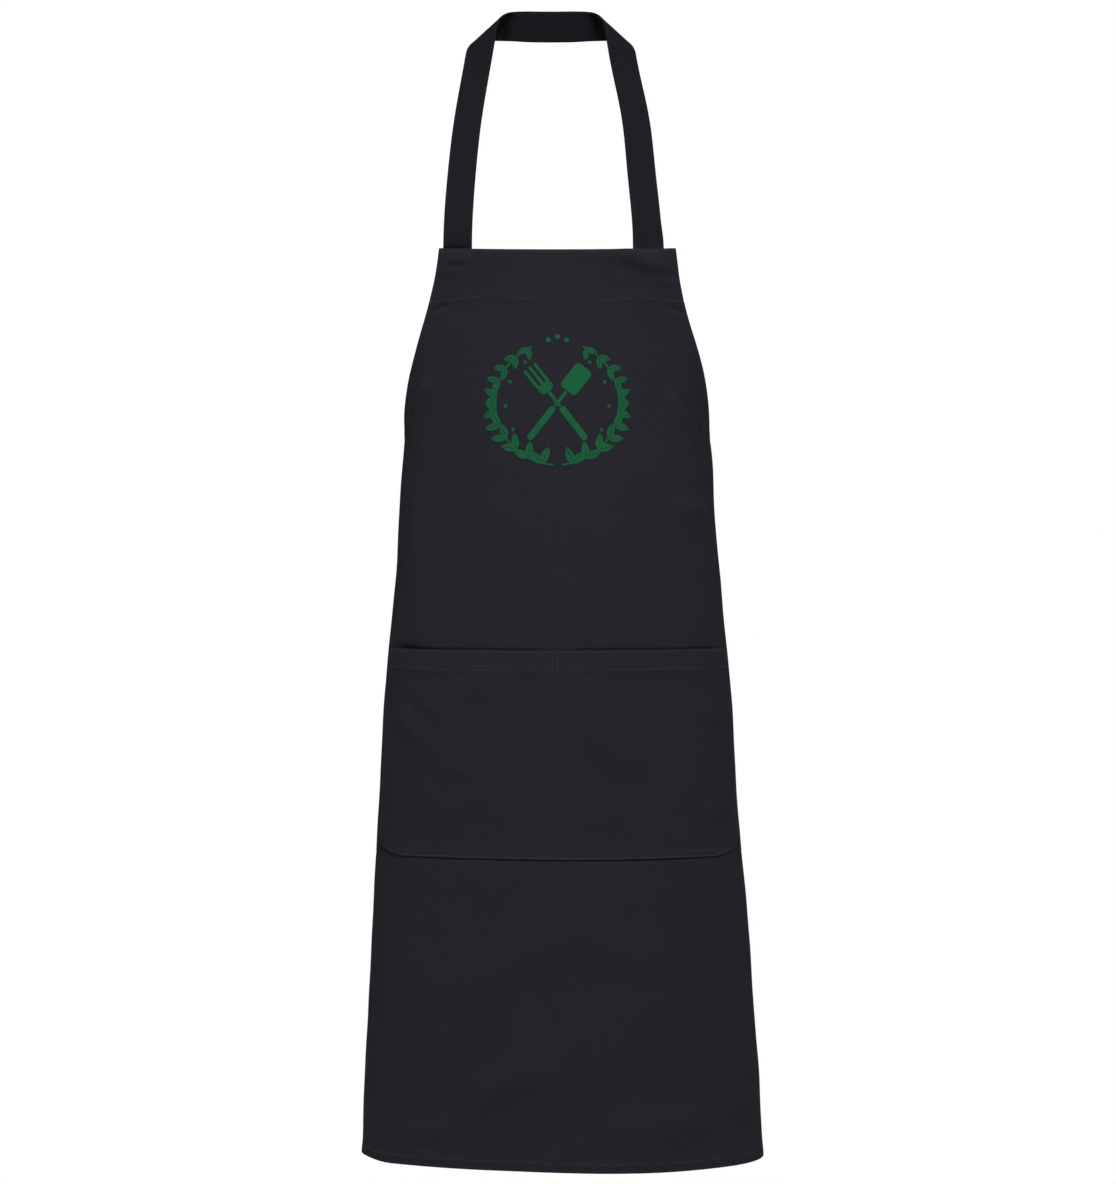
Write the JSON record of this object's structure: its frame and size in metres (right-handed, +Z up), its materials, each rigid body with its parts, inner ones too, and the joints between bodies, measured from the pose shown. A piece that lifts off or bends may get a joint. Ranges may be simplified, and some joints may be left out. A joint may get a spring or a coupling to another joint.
{
  "type": "bib apron",
  "caption": "Bib apron of dark cotton twill with a neck strap, curved armholes, a wide divided front pocket and waist ties in a bow at the back.",
  "frame": {"origin": "where the inside of the neck strap bears on the nape, in the middle of its width", "axes": "+Z up, the wearer faces -Y, +X to the right as seen from the front"},
  "size_m": [0.4048, 0.2127, 1.1621],
  "materials": {
    "body_cloth": "fine matt cotton twill, near-black navy, topstitched",
    "tape_cloth": "the same twill folded double into tape, near-black navy, edge-stitched"
  },
  "bodies": {
    "neck": {"neck_strap": "tape_cloth"},
    "apron": {"front_panel": "body_cloth", "bib_facing": "body_cloth", "left_armhole_hem": "body_cloth", "right_armhole_hem": "body_cloth", "left_skirt_hem": "body_cloth", "right_skirt_hem": "body_cloth", "bottom_hem": "body_cloth", "pocket_panel": "body_cloth", "pocket_hem": "body_cloth", "left_strap_end": "tape_cloth", "right_strap_end": "tape_cloth", "left_waist_tie": "tape_cloth", "right_waist_tie": "tape_cloth", "tie_knot": "tape_cloth"},
    "left_bow": {"left_bow_loop": "tape_cloth"},
    "right_bow": {"right_bow_loop": "tape_cloth"},
    "left_tail": {"left_tie_tail": "tape_cloth"},
    "right_tail": {"right_tie_tail": "tape_cloth"}
  },
  "joints": [
    {"name": "apron_swing", "type": "hinge", "parent": "neck", "child": "apron", "pos_m": [0.008, -0.1305, -0.244], "axis": [-1, 0, 0], "range_deg": [-4, 75]},
    {"name": "left_bow_lift", "type": "hinge", "parent": "apron", "child": "left_bow", "pos_m": [0.008, 0.0244, -0.55], "axis": [0, 1, 0], "range_deg": [0, 45]},
    {"name": "right_bow_lift", "type": "hinge", "parent": "apron", "child": "right_bow", "pos_m": [0.008, 0.0244, -0.55], "axis": [0, -1, 0], "range_deg": [0, 45]},
    {"name": "left_tail_swing", "type": "hinge", "parent": "apron", "child": "left_tail", "pos_m": [0, 0.0214, -0.5635], "axis": [1, 0, 0], "range_deg": [-3, 80]},
    {"name": "right_tail_swing", "type": "hinge", "parent": "apron", "child": "right_tail", "pos_m": [0.016, 0.0214, -0.5635], "axis": [1, 0, 0], "range_deg": [-3, 80]}
  ]
}
